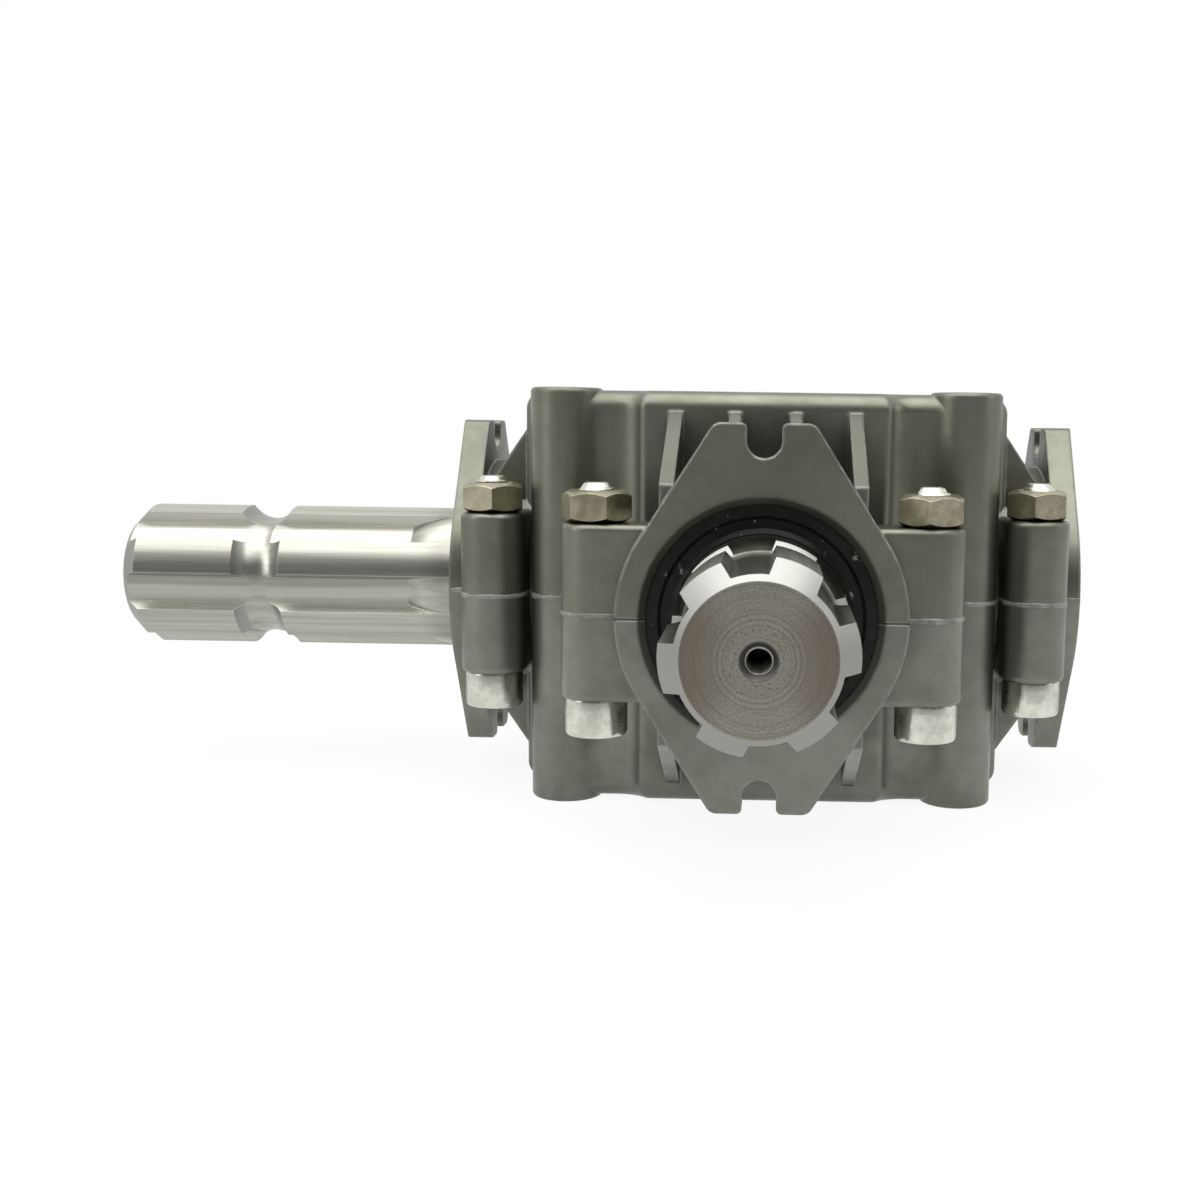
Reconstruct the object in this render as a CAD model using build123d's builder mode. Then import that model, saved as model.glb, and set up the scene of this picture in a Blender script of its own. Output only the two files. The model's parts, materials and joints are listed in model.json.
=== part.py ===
import os
from math import acos, atan, cos, pi, radians, sin, tan

from build123d import *

# All sizes are millimetres. +Z is up, the front port looks along -Y, and the origin is
# at the middle of the four foot bosses, on the face that they are bolted down by.

# Casting: body, corner bosses and the three ports
axis_height = 47.0  # shaft axes above the mounting face
body_length = 102.0  # along X, inside the corner bosses
body_width = 78.0  # along Y, inside the corner bosses
body_setback = 0.5  # the body stops this far short of the boss faces
body_edge_r = 4.0
body_blend_r = 7.0  # concave blends between walls, pads and bosses
body_corner_r = 2.0
front_pad_half = 27.3  # raised middle of the front and rear walls
front_pad_out = 3.5
side_pad_half = 22.0  # raised middle of the side walls
side_pad_out = 5.5
boss_inset_x = 6.0  # boss centres in from the body's sides
boss_inset_y = 5.0
boss_r = 8.2
boss_edge_r = 1.0
front_neck = 33.5  # raised front wall to the face of the front port
side_neck = 17.0  # the same for the left and right ports
hub_r = 29.7
flange_thickness = 6.0
land_half_width = 10.0  # flat top and bottom of each flange
land_height = 39.6
land_corner_r = 2.5
slot_width = 7.0
slot_depth = 7.0
slot_lip_r = 1.2
ear_half_width = 41.9
ear_top = 18.7  # above the split
ear_foot = 17.9  # below the split
ear_setback = 4.3
ear_depth = 14.6
ear_end_r = 7.0
ear_edge_r = 1.2
rib_offset = 19.8
rib_thickness = 3.0
inner_rib_offset = 6.7
inner_rib_thickness = 2.6
front_rib_top = 42.0
front_rib_foot = 27.0
side_rib_top = 37.5
side_rib_foot = 21.5
wall = 6.0
gear_clearance = 2.5  # chamber walls from the gears
hub_clearance = 2.0  # chamber walls from the crown gear's hub
chamber_corner_r = 15.0
passage_clearance = 1.0  # passages from the lands of the outer rings
mouth_chamfer = 1.5

# Screws, nuts, dowels and tapped holes
bolt_offset = 34.6  # clamp screws from the shaft axis
bolt_setback = 11.6  # clamp screws behind the flange face
screw_r = 4.0
screw_hole_r = 4.3
screw_length = 45.0
screw_tip = 1.4
head_edge_r = 1.0
head_r = 6.5
head_height = 8.0
socket_flats = 6.0
socket_depth = 4.0
nut_flats = 13.0
nut_height = 6.8
nut_crown_r = 5.2  # flat top of the nuts
crown_slope = 0.8  # fall of the trimmed corners, per unit of radius
front_nut_turn = 20.0
side_nut_turn = 8.0
foot_hole_r = 4.5  # through the corner bosses, for M8 bolts
dowel_r = 2.5
dowel_length = 16.0
dowel_spacing = 40.0

# Oil plug in the rear wall
plug_r = 7.0
plug_height = 20.0  # above the split
plug_boss_r = 12.0
plug_boss_out = 1.5
plug_flats = 17.0
plug_crown_r = 7.6
plug_head = 6.0
plug_shank = 11.0
washer_r = 10.0
washer_thickness = 1.5

# Ball bearings, 25 x 52 x 15
bearing_bore_r = 12.5
bearing_r = 26.0
bearing_width = 15.0
bearing_chamfer = 0.5
inner_land_r = 16.6
outer_land_r = 21.9
ball_r = 3.95
ball_count = 9
race_gap = 0.08
cage_thickness = 2.2
cage_width = 9.4

# Oil seals, 35 x 47 x 7, and the cap that closes the right port
seal_bore_r = 23.5
seal_width = 7.0
seal_recess = 2.0
seal_lip_gap = 0.06
seal_skin = 1.2  # wall of each seal
seal_step = 0.6  # dish of its outer face, and set-back of its inner lip
seal_lip_width = 0.9
bearing_gap = 1.0  # between each seal and its bearing
cap_wall = 1.6

# Six-spline shafts, 1 3/8 in
spline_r = 17.4
spline_root_r = 14.6
spline_tooth = 8.64
spline_count = 6
runout_r = 32.0  # cutter that leaves the sloped ends of the grooves
runout_clear = 0.5
end_face_r = 13.5
end_chamfer = 4.0
lock_groove_from_end = 33.5
lock_groove_r = 6.8
lock_groove_depth = 3.2
centre_hole_r = 2.5
centre_sink_r = 3.3
centre_hole_depth = 16.0
input_stub = 49.0  # shafts that stand out of their ports
output_stub = 84.0
input_tooth_turn = 7.0
output_tooth_turn = 19.7
pinion_seat_r = 11.0
shaft_chamfer = 0.8
shaft_tail = 1.8  # shaft that stands past its circlip

# Bevel gear pair, 1 : 1, shafts at right angles
teeth = 16
module = 3.5
face_width = 11.0
pressure_angle = radians(20)
cone_angle = radians(45)
backlash = 0.30
root_clearance = 0.25
gear_hub_r = 19.0
gear_hub_end = 38.0
pinion_hub_r = 15.8
gear_front = 21.5  # flat inner face of both gears from the crossing of the axes

# Keys, circlips and sleeves
key_width = 6.0
key_height = 6.0
key_depth = 3.5
key_top_gap = 0.2
key_inset = 1.8  # from the inner face of the gear
pinion_key_length = 10.0
gear_key_length = 12.0
circlip_thickness = 1.2
circlip_groove_depth = 0.55
circlip_rim = 2.6
circlip_gap_angle = 40.0
circlip_lug_angle = 8.0  # lug centres beside the gap
circlip_lug_r = 2.1
sleeve_r = 15.5

# Places that follow from the sizes
up = Vector(0, 0, 1)
front = Vector(0, -1, 0)
left = Vector(-1, 0, 0)
right = Vector(1, 0, 0)
crossing = Vector(0, 0, axis_height)
split_plane = Plane(origin=crossing, z_dir=up)
casing_height = 2 * axis_height
body_half_height = axis_height - body_setback
boss_spacing_x = body_length - 2 * boss_inset_x
boss_spacing_y = body_width - 2 * boss_inset_y
front_wall = body_width / 2 + front_pad_out
side_wall = body_length / 2 + side_pad_out
front_reach = front_wall + front_neck
side_reach = side_wall + side_neck
input_end = front_reach + input_stub
output_end = side_reach + output_stub
front_bearing = front_reach - seal_recess - seal_width - bearing_gap - bearing_width
pinion_bearing = front_bearing - bearing_width
side_bearing = side_reach - seal_recess - seal_width - bearing_gap - bearing_width
cone_distance = module * teeth / 2 / sin(cone_angle)
gear_tip_r = module * teeth / 2 + module * cos(cone_angle)
chamber_half_x = gear_hub_end + hub_clearance
chamber_half_y = gear_tip_r + gear_clearance
ball_pitch_r = (bearing_bore_r + bearing_r) / 2
snap = 0.1  # tolerance for picking corners by their place
bolt_places = [
    (side * bolt_offset, -(front_reach - bolt_setback)) for side in (-1, 1)
] + [
    (end * (side_reach - bolt_setback), side * bolt_offset) for end in (-1, 1) for side in (-1, 1)
]

plug_face = Plane(origin=crossing + Vector(0, front_wall + plug_boss_out, plug_height), z_dir=-front)

os.makedirs("parts", exist_ok=True)


def axial_plane(direction):
    """Plane through a shaft axis: X runs outward along the axis, Y is the radius."""
    return Plane(origin=crossing, x_dir=direction, z_dir=direction.cross(up))


def plan_plane(direction):
    """Level plane at the split: Y runs outward along the axis."""
    return Plane(origin=crossing, x_dir=direction.cross(up), z_dir=up)


def port_plane(direction, distance):
    """Plane square to a shaft axis: Z runs outward, Y is up."""
    return Plane(origin=crossing + direction * distance, x_dir=up.cross(direction), z_dir=direction)


def save(piece, name):
    piece.label = name
    export_step(piece, f"parts/{name}.step")


def turned(direction, points):
    """A ring or disc turned about a shaft axis from its half section."""
    with BuildPart() as ring:
        with BuildSketch(axial_plane(direction)):
            with BuildLine():
                Polyline(*points, close=True)
            make_face()
        revolve(axis=Axis(crossing, direction))
    return ring.part


# Casing
def port(direction, reach, wall_face, rib_top, rib_foot):
    """Hub, slotted flange, clamp ears and ribs of one port, above and below the split."""
    back = reach - flange_thickness
    with BuildPart() as flange:
        with BuildSketch(port_plane(direction, back)) as outline:
            Circle(hub_r)
            Rectangle(2 * land_half_width, 2 * land_height)
            make_hull()
            with Locations((0, land_height), (0, -land_height)):
                SlotOverall(2 * slot_depth, slot_width, rotation=90, mode=Mode.SUBTRACT)
            for level in (-land_height, land_height):
                corners = outline.vertices().filter_by_position(Axis.Y, level - snap, level + snap)
                fillet(corners.sort_by(Axis.X)[1:-1], slot_lip_r)
                corners = outline.vertices().filter_by_position(Axis.Y, level - snap, level + snap)
                fillet(corners.sort_by(Axis.X)[:: len(corners) - 1], land_corner_r)
        extrude(amount=flange_thickness)
    with BuildPart() as ears:
        with BuildSketch(plan_plane(direction)) as plan:
            with Locations((0, reach - ear_setback - ear_depth / 2)):
                Rectangle(2 * ear_half_width, ear_depth)
            fillet(plan.vertices(), ear_end_r)
        extrude(amount=ear_top)
        extrude(plan.sketch, amount=-ear_foot)
        fillet(ears.faces().filter_by(Axis.Z).edges(), ear_edge_r)
    with BuildPart() as whole:
        with BuildSketch(port_plane(direction, chamber_half_y)):
            Circle(hub_r)
        extrude(amount=back - chamber_half_y)
        for place, thickness in ((rib_offset, rib_thickness), (inner_rib_offset, inner_rib_thickness)):
            for side in (-1, 1):
                with BuildSketch(axial_plane(direction).offset(side * place - thickness / 2)):
                    with BuildLine():
                        Polyline(
                            (wall_face - wall, rib_top),
                            (wall_face, rib_top),
                            (back, rib_foot),
                            (back, -rib_foot),
                            (wall_face, -rib_top),
                            (wall_face - wall, -rib_top),
                            close=True,
                        )
                    make_face()
                extrude(amount=thickness)
        add(flange.part)
        add(ears.part)
    return whole.part


def bore(direction, reach, near):
    """Everything turned out of one port: passage, bearing seat, seal bore and mouth."""
    far = reach - seal_recess - seal_width - bearing_gap
    start = min(chamber_half_x, chamber_half_y) - passage_clearance
    passage_r = outer_land_r + passage_clearance
    return turned(
        direction,
        [
            (start, 0),
            (start, passage_r),
            (near, passage_r),
            (near, bearing_r),
            (far, bearing_r),
            (far, seal_bore_r),
            (reach - mouth_chamfer, seal_bore_r),
            (reach, seal_bore_r + mouth_chamfer),
            (reach + snap, seal_bore_r + mouth_chamfer),
            (reach + snap, 0),
        ],
    )


with BuildPart() as body:
    with BuildSketch(split_plane.offset(-body_half_height)) as outline:
        Rectangle(body_length, body_width)
        Rectangle(2 * front_pad_half, 2 * front_wall)
        Rectangle(2 * side_wall, 2 * side_pad_half)
        with GridLocations(boss_spacing_x, boss_spacing_y, 2, 2):
            Circle(boss_r)
        offset(amount=body_blend_r)
        offset(amount=-body_blend_r - body_corner_r)
        offset(amount=body_corner_r)
    extrude(amount=2 * body_half_height)
    fillet(body.faces().filter_by(Axis.Z).edges(), body_edge_r)

with BuildPart() as boss:
    Cylinder(boss_r, casing_height, align=(Align.CENTER, Align.CENTER, Align.MIN))
    fillet(boss.edges().filter_by(GeomType.CIRCLE), boss_edge_r)

with BuildPart() as casting:
    add(body.part)
    with GridLocations(boss_spacing_x, boss_spacing_y, 2, 2):
        add(boss.part)
    add(port(front, front_reach, front_wall, front_rib_top, front_rib_foot))
    for direction in (left, right):
        add(port(direction, side_reach, side_wall, side_rib_top, side_rib_foot))
    with BuildSketch(plug_face.offset(-wall)):
        Circle(plug_boss_r)
    extrude(amount=wall)
    with BuildSketch(Plane.XY.offset(wall)):
        RectangleRounded(2 * chamber_half_x, 2 * chamber_half_y, chamber_corner_r)
    extrude(amount=casing_height - 2 * wall, mode=Mode.SUBTRACT)
    add(bore(front, front_reach, pinion_bearing), mode=Mode.SUBTRACT)
    add(bore(left, side_reach, side_bearing), mode=Mode.SUBTRACT)
    add(bore(right, side_reach, side_bearing), mode=Mode.SUBTRACT)
    with Locations(split_plane):
        with Locations(*bolt_places):
            Cylinder(screw_hole_r, casing_height, mode=Mode.SUBTRACT)
        with Locations((0, front_wall - wall / 2)):
            with GridLocations(dowel_spacing, 0, 2, 1):
                Cylinder(dowel_r, dowel_length, mode=Mode.SUBTRACT)
        with GridLocations(boss_spacing_x, boss_spacing_y, 2, 2):
            Cylinder(foot_hole_r, casing_height, mode=Mode.SUBTRACT)

with BuildPart() as lower_casing:
    add(casting.part)
    split(bisect_by=split_plane, keep=Keep.BOTTOM)

with BuildPart() as upper_casing:
    add(casting.part)
    split(bisect_by=split_plane, keep=Keep.TOP)
    with Locations(plug_face):
        Cylinder(plug_r, body_width / 2, mode=Mode.SUBTRACT)

save(lower_casing.part, "lower_casing")
save(upper_casing.part, "upper_casing")


# Clamp screws and nuts, dowels, oil plug
with BuildPart() as casing_screws:
    with BuildSketch(split_plane.offset(-ear_foot - head_height)):
        with Locations(*bolt_places):
            Circle(head_r)
    extrude(amount=head_height)
    with BuildSketch(split_plane.offset(-ear_foot)):
        with Locations(*bolt_places):
            Circle(screw_r)
    extrude(amount=screw_length)
    chamfer(casing_screws.faces().group_by(Axis.Z)[-1].edges(), screw_tip)
    fillet(casing_screws.faces().group_by(Axis.Z)[0].edges(), head_edge_r)
    with BuildSketch(split_plane.offset(-ear_foot - head_height)):
        with Locations(*bolt_places):
            RegularPolygon(socket_flats / 2, 6, major_radius=False)
    extrude(amount=socket_depth, mode=Mode.SUBTRACT)


def crowned_hexagon(plane, flats, height, crown_r, turn=0.0):
    """Hexagon with its outer corners trimmed by a cone."""
    with BuildPart() as hexagon:
        with BuildSketch(plane):
            RegularPolygon(flats / 2, 6, major_radius=False, rotation=turn)
        extrude(amount=height)
        with Locations(plane):
            Cone(crown_r + height / crown_slope, crown_r, height,
                 align=(Align.CENTER, Align.CENTER, Align.MIN), mode=Mode.INTERSECT)
    return hexagon.part


with BuildPart() as casing_nuts:
    for x, y in bolt_places:
        turn = front_nut_turn if y < -front_wall else side_nut_turn
        seat = Plane(origin=crossing + Vector(x, y, ear_top), z_dir=up)
        add(crowned_hexagon(seat, nut_flats, nut_height, nut_crown_r, turn))
    with Locations(split_plane):
        with Locations(*bolt_places):
            Cylinder(screw_r, casing_height, mode=Mode.SUBTRACT)

with BuildPart() as dowel_pins:
    with Locations(split_plane):
        with Locations((0, front_wall - wall / 2)):
            with GridLocations(dowel_spacing, 0, 2, 1):
                Cylinder(dowel_r, dowel_length)

with BuildPart() as plug_washer:
    with BuildSketch(plug_face):
        Circle(washer_r)
        Circle(plug_r, mode=Mode.SUBTRACT)
    extrude(amount=washer_thickness)

with BuildPart() as oil_plug:
    with BuildSketch(plug_face.offset(washer_thickness - plug_shank)):
        Circle(plug_r)
    extrude(amount=plug_shank)
    add(crowned_hexagon(plug_face.offset(washer_thickness), plug_flats, plug_head, plug_crown_r))

save(casing_screws.part, "casing_screws")
save(casing_nuts.part, "casing_nuts")
save(dowel_pins.part, "dowel_pins")
save(plug_washer.part, "plug_washer")
save(oil_plug.part, "oil_plug")


# Oil seals and port cap
def seal(direction, reach):
    """Lipped ring, its face just inside the mouth of the port."""
    face = reach - seal_recess
    dish = face - seal_step
    disc = face - 2 * seal_lip_width
    back = face - seal_width
    heel = back + seal_step
    lip_r = spline_r + seal_lip_gap
    neck_r = lip_r + seal_skin
    return turned(
        direction,
        [
            (face, seal_bore_r),
            (face, seal_bore_r - 2 * seal_skin),
            (dish, seal_bore_r - 2 * seal_skin - seal_step),
            (dish, neck_r),
            (face, lip_r),
            (face - seal_lip_width, lip_r),
            (disc, neck_r),
            (heel + 2 * seal_lip_width, neck_r),
            (heel + seal_lip_width, lip_r),
            (heel, neck_r),
            (heel, neck_r + seal_skin),
            (disc, neck_r + seal_skin),
            (disc, seal_bore_r - seal_skin),
            (back, seal_bore_r - seal_skin),
            (back, seal_bore_r),
        ],
    )


cap_face = side_reach - seal_recess
port_cap = turned(
    right,
    [
        (cap_face, 0),
        (cap_face, seal_bore_r - cap_wall),
        (cap_face - cap_wall, seal_bore_r),
        (cap_face - seal_width, seal_bore_r),
        (cap_face - seal_width, seal_bore_r - cap_wall),
        (cap_face - cap_wall, seal_bore_r - cap_wall),
        (cap_face - cap_wall, 0),
    ],
)

save(seal(front, front_reach), "input_seal")
save(seal(left, side_reach), "output_seal")
save(port_cap, "port_cap")


# Shafts
def splined_shaft(direction, end, reach, turn, outline, key):
    """Splines with sloped ends, trimmed by the turned outline of the whole shaft."""
    runout_end = reach + runout_clear
    rise = spline_r - spline_root_r
    runout_start = runout_end + (runout_r**2 - (runout_r - rise) ** 2) ** 0.5
    tail = min(point[0] for point in outline)
    with BuildPart() as shaft:
        with BuildSketch(axial_plane(direction)):
            with BuildLine():
                RadiusArc((runout_start, spline_root_r), (runout_end, spline_r), -runout_r)
                Polyline(
                    (runout_end, spline_r),
                    (tail, spline_r),
                    (tail, 0),
                    (end, 0),
                    (end, spline_root_r),
                    (runout_start, spline_root_r),
                )
            make_face()
        revolve(axis=Axis(crossing, direction))
        with BuildSketch(port_plane(direction, runout_end)):
            with PolarLocations(0, spline_count, start_angle=turn):
                Rectangle(2 * spline_r, spline_tooth)
        extrude(amount=end - runout_end)
        with BuildSketch(axial_plane(direction)):
            with BuildLine():
                Polyline(*outline, close=True)
            make_face()
            with Locations((end - lock_groove_from_end, spline_r + lock_groove_r - lock_groove_depth)):
                Circle(lock_groove_r, mode=Mode.SUBTRACT)
        revolve(axis=Axis(crossing, direction), mode=Mode.INTERSECT)
        with Locations(port_plane(direction, end)):
            CounterSinkHole(centre_hole_r, centre_sink_r, centre_hole_depth)
        add(key, mode=Mode.SUBTRACT)
    return shaft.part


def shaft_key(direction, seat_r, start, length):
    """Round-ended key, sunk in the top of a shaft."""
    with BuildPart() as key:
        with BuildSketch(Plane(origin=crossing + up * (seat_r - key_depth), x_dir=direction, z_dir=up)):
            with Locations((start + length / 2, 0)):
                SlotOverall(length, key_width)
        extrude(amount=key_height)
    return key.part


pinion_groove = gear_front - circlip_thickness
pinion_key = shaft_key(front, pinion_seat_r, gear_front + key_inset, pinion_key_length)
input_shaft = splined_shaft(
    front,
    input_end,
    front_reach,
    input_tooth_turn,
    [
        (pinion_groove - shaft_tail, 0),
        (pinion_groove - shaft_tail, pinion_seat_r - shaft_chamfer),
        (pinion_groove - shaft_tail + shaft_chamfer, pinion_seat_r),
        (pinion_groove, pinion_seat_r),
        (pinion_groove, pinion_seat_r - circlip_groove_depth),
        (gear_front, pinion_seat_r - circlip_groove_depth),
        (gear_front, pinion_seat_r),
        (pinion_bearing, pinion_seat_r),
        (pinion_bearing, bearing_bore_r),
        (front_bearing + bearing_width, bearing_bore_r),
        (front_bearing + bearing_width, spline_r),
        (input_end - end_chamfer, spline_r),
        (input_end, end_face_r),
        (input_end, 0),
    ],
    pinion_key,
)

tail_groove = -side_bearing - bearing_width
gear_key = shaft_key(right, bearing_bore_r, gear_front + key_inset, gear_key_length)
output_shaft = splined_shaft(
    left,
    output_end,
    side_reach,
    output_tooth_turn,
    [
        (tail_groove - circlip_thickness - shaft_tail, 0),
        (tail_groove - circlip_thickness - shaft_tail, bearing_bore_r - shaft_chamfer),
        (tail_groove - circlip_thickness - shaft_tail + shaft_chamfer, bearing_bore_r),
        (tail_groove - circlip_thickness, bearing_bore_r),
        (tail_groove - circlip_thickness, bearing_bore_r - circlip_groove_depth),
        (tail_groove, bearing_bore_r - circlip_groove_depth),
        (tail_groove, bearing_bore_r),
        (-tail_groove, bearing_bore_r),
        (-tail_groove, spline_r),
        (output_end - end_chamfer, spline_r),
        (output_end, end_face_r),
        (output_end, 0),
    ],
    gear_key,
)

save(input_shaft, "input_shaft")
save(output_shaft, "output_shaft")
save(pinion_key, "pinion_key")
save(gear_key, "gear_key")


# Bevel gears
virtual_r = cone_distance * tan(cone_angle)
base_r = virtual_r * cos(pressure_angle)
addendum = module
dedendum = module * (1 + root_clearance)


def involute(angle):
    return tan(angle) - angle


def flank_point(height, side, tooth_angle, distance):
    """Point of a tooth flank, a height above the pitch cone, in the plane at a distance from the apex."""
    profile_r = max(virtual_r + height, base_r)
    half_angle = (
        (pi * module / 4 - backlash / 2) / virtual_r
        + involute(pressure_angle)
        - involute(acos(base_r / profile_r))
    ) / cos(cone_angle)
    radius = distance * tan(cone_angle + atan(height / cone_distance))
    angle = tooth_angle + side * half_angle
    return radius * cos(angle), radius * sin(angle)


def cone_point(height, reach):
    """Distance along the axis and radius of a point over the pitch cone."""
    return (
        reach * cos(cone_angle) - height * sin(cone_angle),
        reach * sin(cone_angle) + height * cos(cone_angle),
    )


def bevel_gear(direction, turn, hub_radius, hub_end, seat_r):
    """Straight-toothed bevel gear with its apex at the crossing of the axes."""
    inner_reach = cone_distance - face_width
    scale = inner_reach / cone_distance
    tip_in = cone_point(addendum * scale, inner_reach)
    root_in = cone_point(-dedendum * scale, inner_reach)
    tip_out = cone_point(addendum, cone_distance)
    root_out = cone_point(-dedendum, cone_distance)
    with BuildPart() as gear:
        for distance in (tip_in[0] - 1, root_out[0] + 1):
            with BuildSketch(port_plane(direction, distance)):
                with BuildLine():
                    for index in range(teeth):
                        here = 2 * pi * index / teeth + radians(turn)
                        after = 2 * pi * (index + 1) / teeth + radians(turn)
                        rise = [flank_point(h, -1, here, distance) for h in (-dedendum, 0, addendum)]
                        fall = [flank_point(h, 1, here, distance) for h in (addendum, 0, -dedendum)]
                        ThreePointArc(*rise)
                        Line(rise[-1], fall[0])
                        ThreePointArc(*fall)
                        Line(fall[-1], flank_point(-dedendum, -1, after, distance))
                make_face()
        loft(ruled=True)
        with BuildSketch(axial_plane(direction)):
            with BuildLine():
                Polyline(
                    (gear_front, 0),
                    (gear_front, root_in[1] + root_in[0] - gear_front),
                    tip_in,
                    tip_out,
                    root_out,
                    (root_out[0], 0),
                    close=True,
                )
            make_face()
        revolve(axis=Axis(crossing, direction), mode=Mode.INTERSECT)
        with BuildSketch(port_plane(direction, tip_out[0])):
            Circle(hub_radius)
        extrude(amount=hub_end - tip_out[0])
        with BuildSketch(port_plane(direction, gear_front)):
            Circle(seat_r)
            with Locations((0, (seat_r - key_depth + key_height + key_top_gap) / 2)):
                Rectangle(key_width, seat_r - key_depth + key_height + key_top_gap)
        extrude(amount=hub_end - gear_front, mode=Mode.SUBTRACT)
    return gear.part


half_pitch = 180.0 / teeth
pinion = bevel_gear(front, 0, pinion_hub_r, pinion_bearing, pinion_seat_r)
crown_gear = bevel_gear(right, half_pitch, gear_hub_r, gear_hub_end, bearing_bore_r)
save(pinion, "pinion")
save(crown_gear, "crown_gear")


# Sleeves and circlips
def sleeve(direction, start, end):
    return turned(
        direction,
        [(start, bearing_bore_r), (start, sleeve_r), (end, sleeve_r), (end, bearing_bore_r)],
    )


def circlip(direction, start, seat_r):
    """Outside circlip: an open ring with two lugs at its gap."""
    inner_r = seat_r - circlip_groove_depth
    outer_r = inner_r + circlip_rim
    lug_angle = circlip_gap_angle + 2 * circlip_lug_angle
    with BuildPart() as ring:
        with BuildSketch(port_plane(direction, start)):
            Circle(outer_r)
            with PolarLocations(outer_r - circlip_lug_r / 2, 2, start_angle=90 - lug_angle / 2,
                                angular_range=lug_angle, endpoint=True):
                Circle(circlip_lug_r)
            Circle(inner_r, mode=Mode.SUBTRACT)
            with BuildLine():
                Polyline(
                    (0, 0),
                    (2 * outer_r * sin(radians(-circlip_gap_angle / 2)), 2 * outer_r),
                    (2 * outer_r * sin(radians(circlip_gap_angle / 2)), 2 * outer_r),
                    close=True,
                )
            make_face(mode=Mode.SUBTRACT)
        extrude(amount=circlip_thickness)
    return ring.part


save(sleeve(right, -side_bearing, gear_front), "long_sleeve")
save(sleeve(right, gear_hub_end, side_bearing), "short_sleeve")
save(circlip(front, pinion_groove, pinion_seat_r), "pinion_circlip")
save(circlip(right, -tail_groove, bearing_bore_r), "output_circlip")


# Ball bearings
def bearing(name, direction, near):
    """Outer ring, inner ring, cage and balls, each in its own file."""
    middle = near + bearing_width / 2
    race_r = ball_r + race_gap
    for ring_name, low, high in (
        ("outer_ring", outer_land_r, bearing_r),
        ("inner_ring", bearing_bore_r, inner_land_r),
    ):
        with BuildPart() as ring:
            with BuildSketch(axial_plane(direction)) as section:
                with Locations((middle, (low + high) / 2)):
                    Rectangle(bearing_width, high - low)
                chamfer(section.vertices(), bearing_chamfer)
                with Locations((middle, ball_pitch_r)):
                    Circle(race_r, mode=Mode.SUBTRACT)
            revolve(axis=Axis(crossing, direction))
        save(ring.part, f"{name}_{ring_name}")

    with BuildPart() as cage:
        with BuildSketch(port_plane(direction, middle - cage_width / 2)):
            Circle(ball_pitch_r + cage_thickness / 2)
            Circle(ball_pitch_r - cage_thickness / 2, mode=Mode.SUBTRACT)
        extrude(amount=cage_width)
        with Locations(port_plane(direction, middle)):
            with PolarLocations(ball_pitch_r, ball_count):
                Cylinder(race_r, 2 * cage_thickness, rotation=(0, 90, 0), mode=Mode.SUBTRACT)
    save(cage.part, f"{name}_cage")

    with BuildPart() as balls:
        with Locations(port_plane(direction, middle)):
            with PolarLocations(ball_pitch_r, ball_count):
                Sphere(ball_r)
    save(balls.part, f"{name}_balls")


bearing("front_bearing", front, front_bearing)
bearing("pinion_bearing", front, pinion_bearing)
bearing("left_bearing", left, side_bearing)
bearing("right_bearing", right, side_bearing)
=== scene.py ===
import json
from math import ceil, cos, pi, radians, sin, tan

import bmesh
import bpy
from mathutils import Matrix, Vector, noise


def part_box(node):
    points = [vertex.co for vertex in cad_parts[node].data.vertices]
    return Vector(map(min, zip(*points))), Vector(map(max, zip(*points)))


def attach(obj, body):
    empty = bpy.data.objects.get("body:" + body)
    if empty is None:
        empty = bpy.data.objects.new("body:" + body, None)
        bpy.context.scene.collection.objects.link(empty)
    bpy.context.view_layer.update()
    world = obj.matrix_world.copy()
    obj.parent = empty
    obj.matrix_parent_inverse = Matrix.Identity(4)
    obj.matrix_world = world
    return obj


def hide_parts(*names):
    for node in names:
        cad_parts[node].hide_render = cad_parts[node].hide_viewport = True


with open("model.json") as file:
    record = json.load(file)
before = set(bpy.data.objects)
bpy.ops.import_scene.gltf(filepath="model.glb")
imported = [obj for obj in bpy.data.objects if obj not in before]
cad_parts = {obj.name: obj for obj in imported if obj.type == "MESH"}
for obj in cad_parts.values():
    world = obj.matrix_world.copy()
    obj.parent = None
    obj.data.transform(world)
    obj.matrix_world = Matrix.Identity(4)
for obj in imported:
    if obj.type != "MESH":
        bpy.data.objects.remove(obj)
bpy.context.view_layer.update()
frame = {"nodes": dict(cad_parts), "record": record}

scene = bpy.context.scene
nodes = frame["nodes"]

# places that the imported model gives, in metres
casingLow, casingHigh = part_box("upper_casing")
ringLow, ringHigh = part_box("front_bearing_outer_ring")
axisHeight = (ringLow[2] + ringHigh[2]) / 2
frontReach = -casingLow[1]
sideReach = casingHigh[0]
inputEnd = -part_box("input_shaft")[0][1]
outputEnd = -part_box("output_shaft")[0][0]


# camera
cameraView = {
    "place": (0.00186, -0.35777, 0.08547),
    "yaw": 0.92,         # degrees
    "pitch": -7.34,
    "roll": 0.83,
    "lens": 42.565,      # mm
    "sensor": 36.0,
    "shift": (-0.12373, 0.009275),
    "clip": 0.01,
}


def makeCamera(view):
    data = bpy.data.cameras.new("camera")
    data.lens = view["lens"]
    data.sensor_width = view["sensor"]
    data.shift_x, data.shift_y = view["shift"]
    data.clip_start = view["clip"]
    camera = bpy.data.objects.new("camera", data)
    scene.collection.objects.link(camera)
    turn = (Matrix.Rotation(radians(view["yaw"]), 4, "Z")
            @ Matrix.Rotation(radians(90 + view["pitch"]), 4, "X")
            @ Matrix.Rotation(radians(view["roll"]), 4, "Z"))
    camera.matrix_world = Matrix.Translation(view["place"]) @ turn
    scene.camera = camera


makeCamera(cameraView)
print("camera is set")


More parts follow.
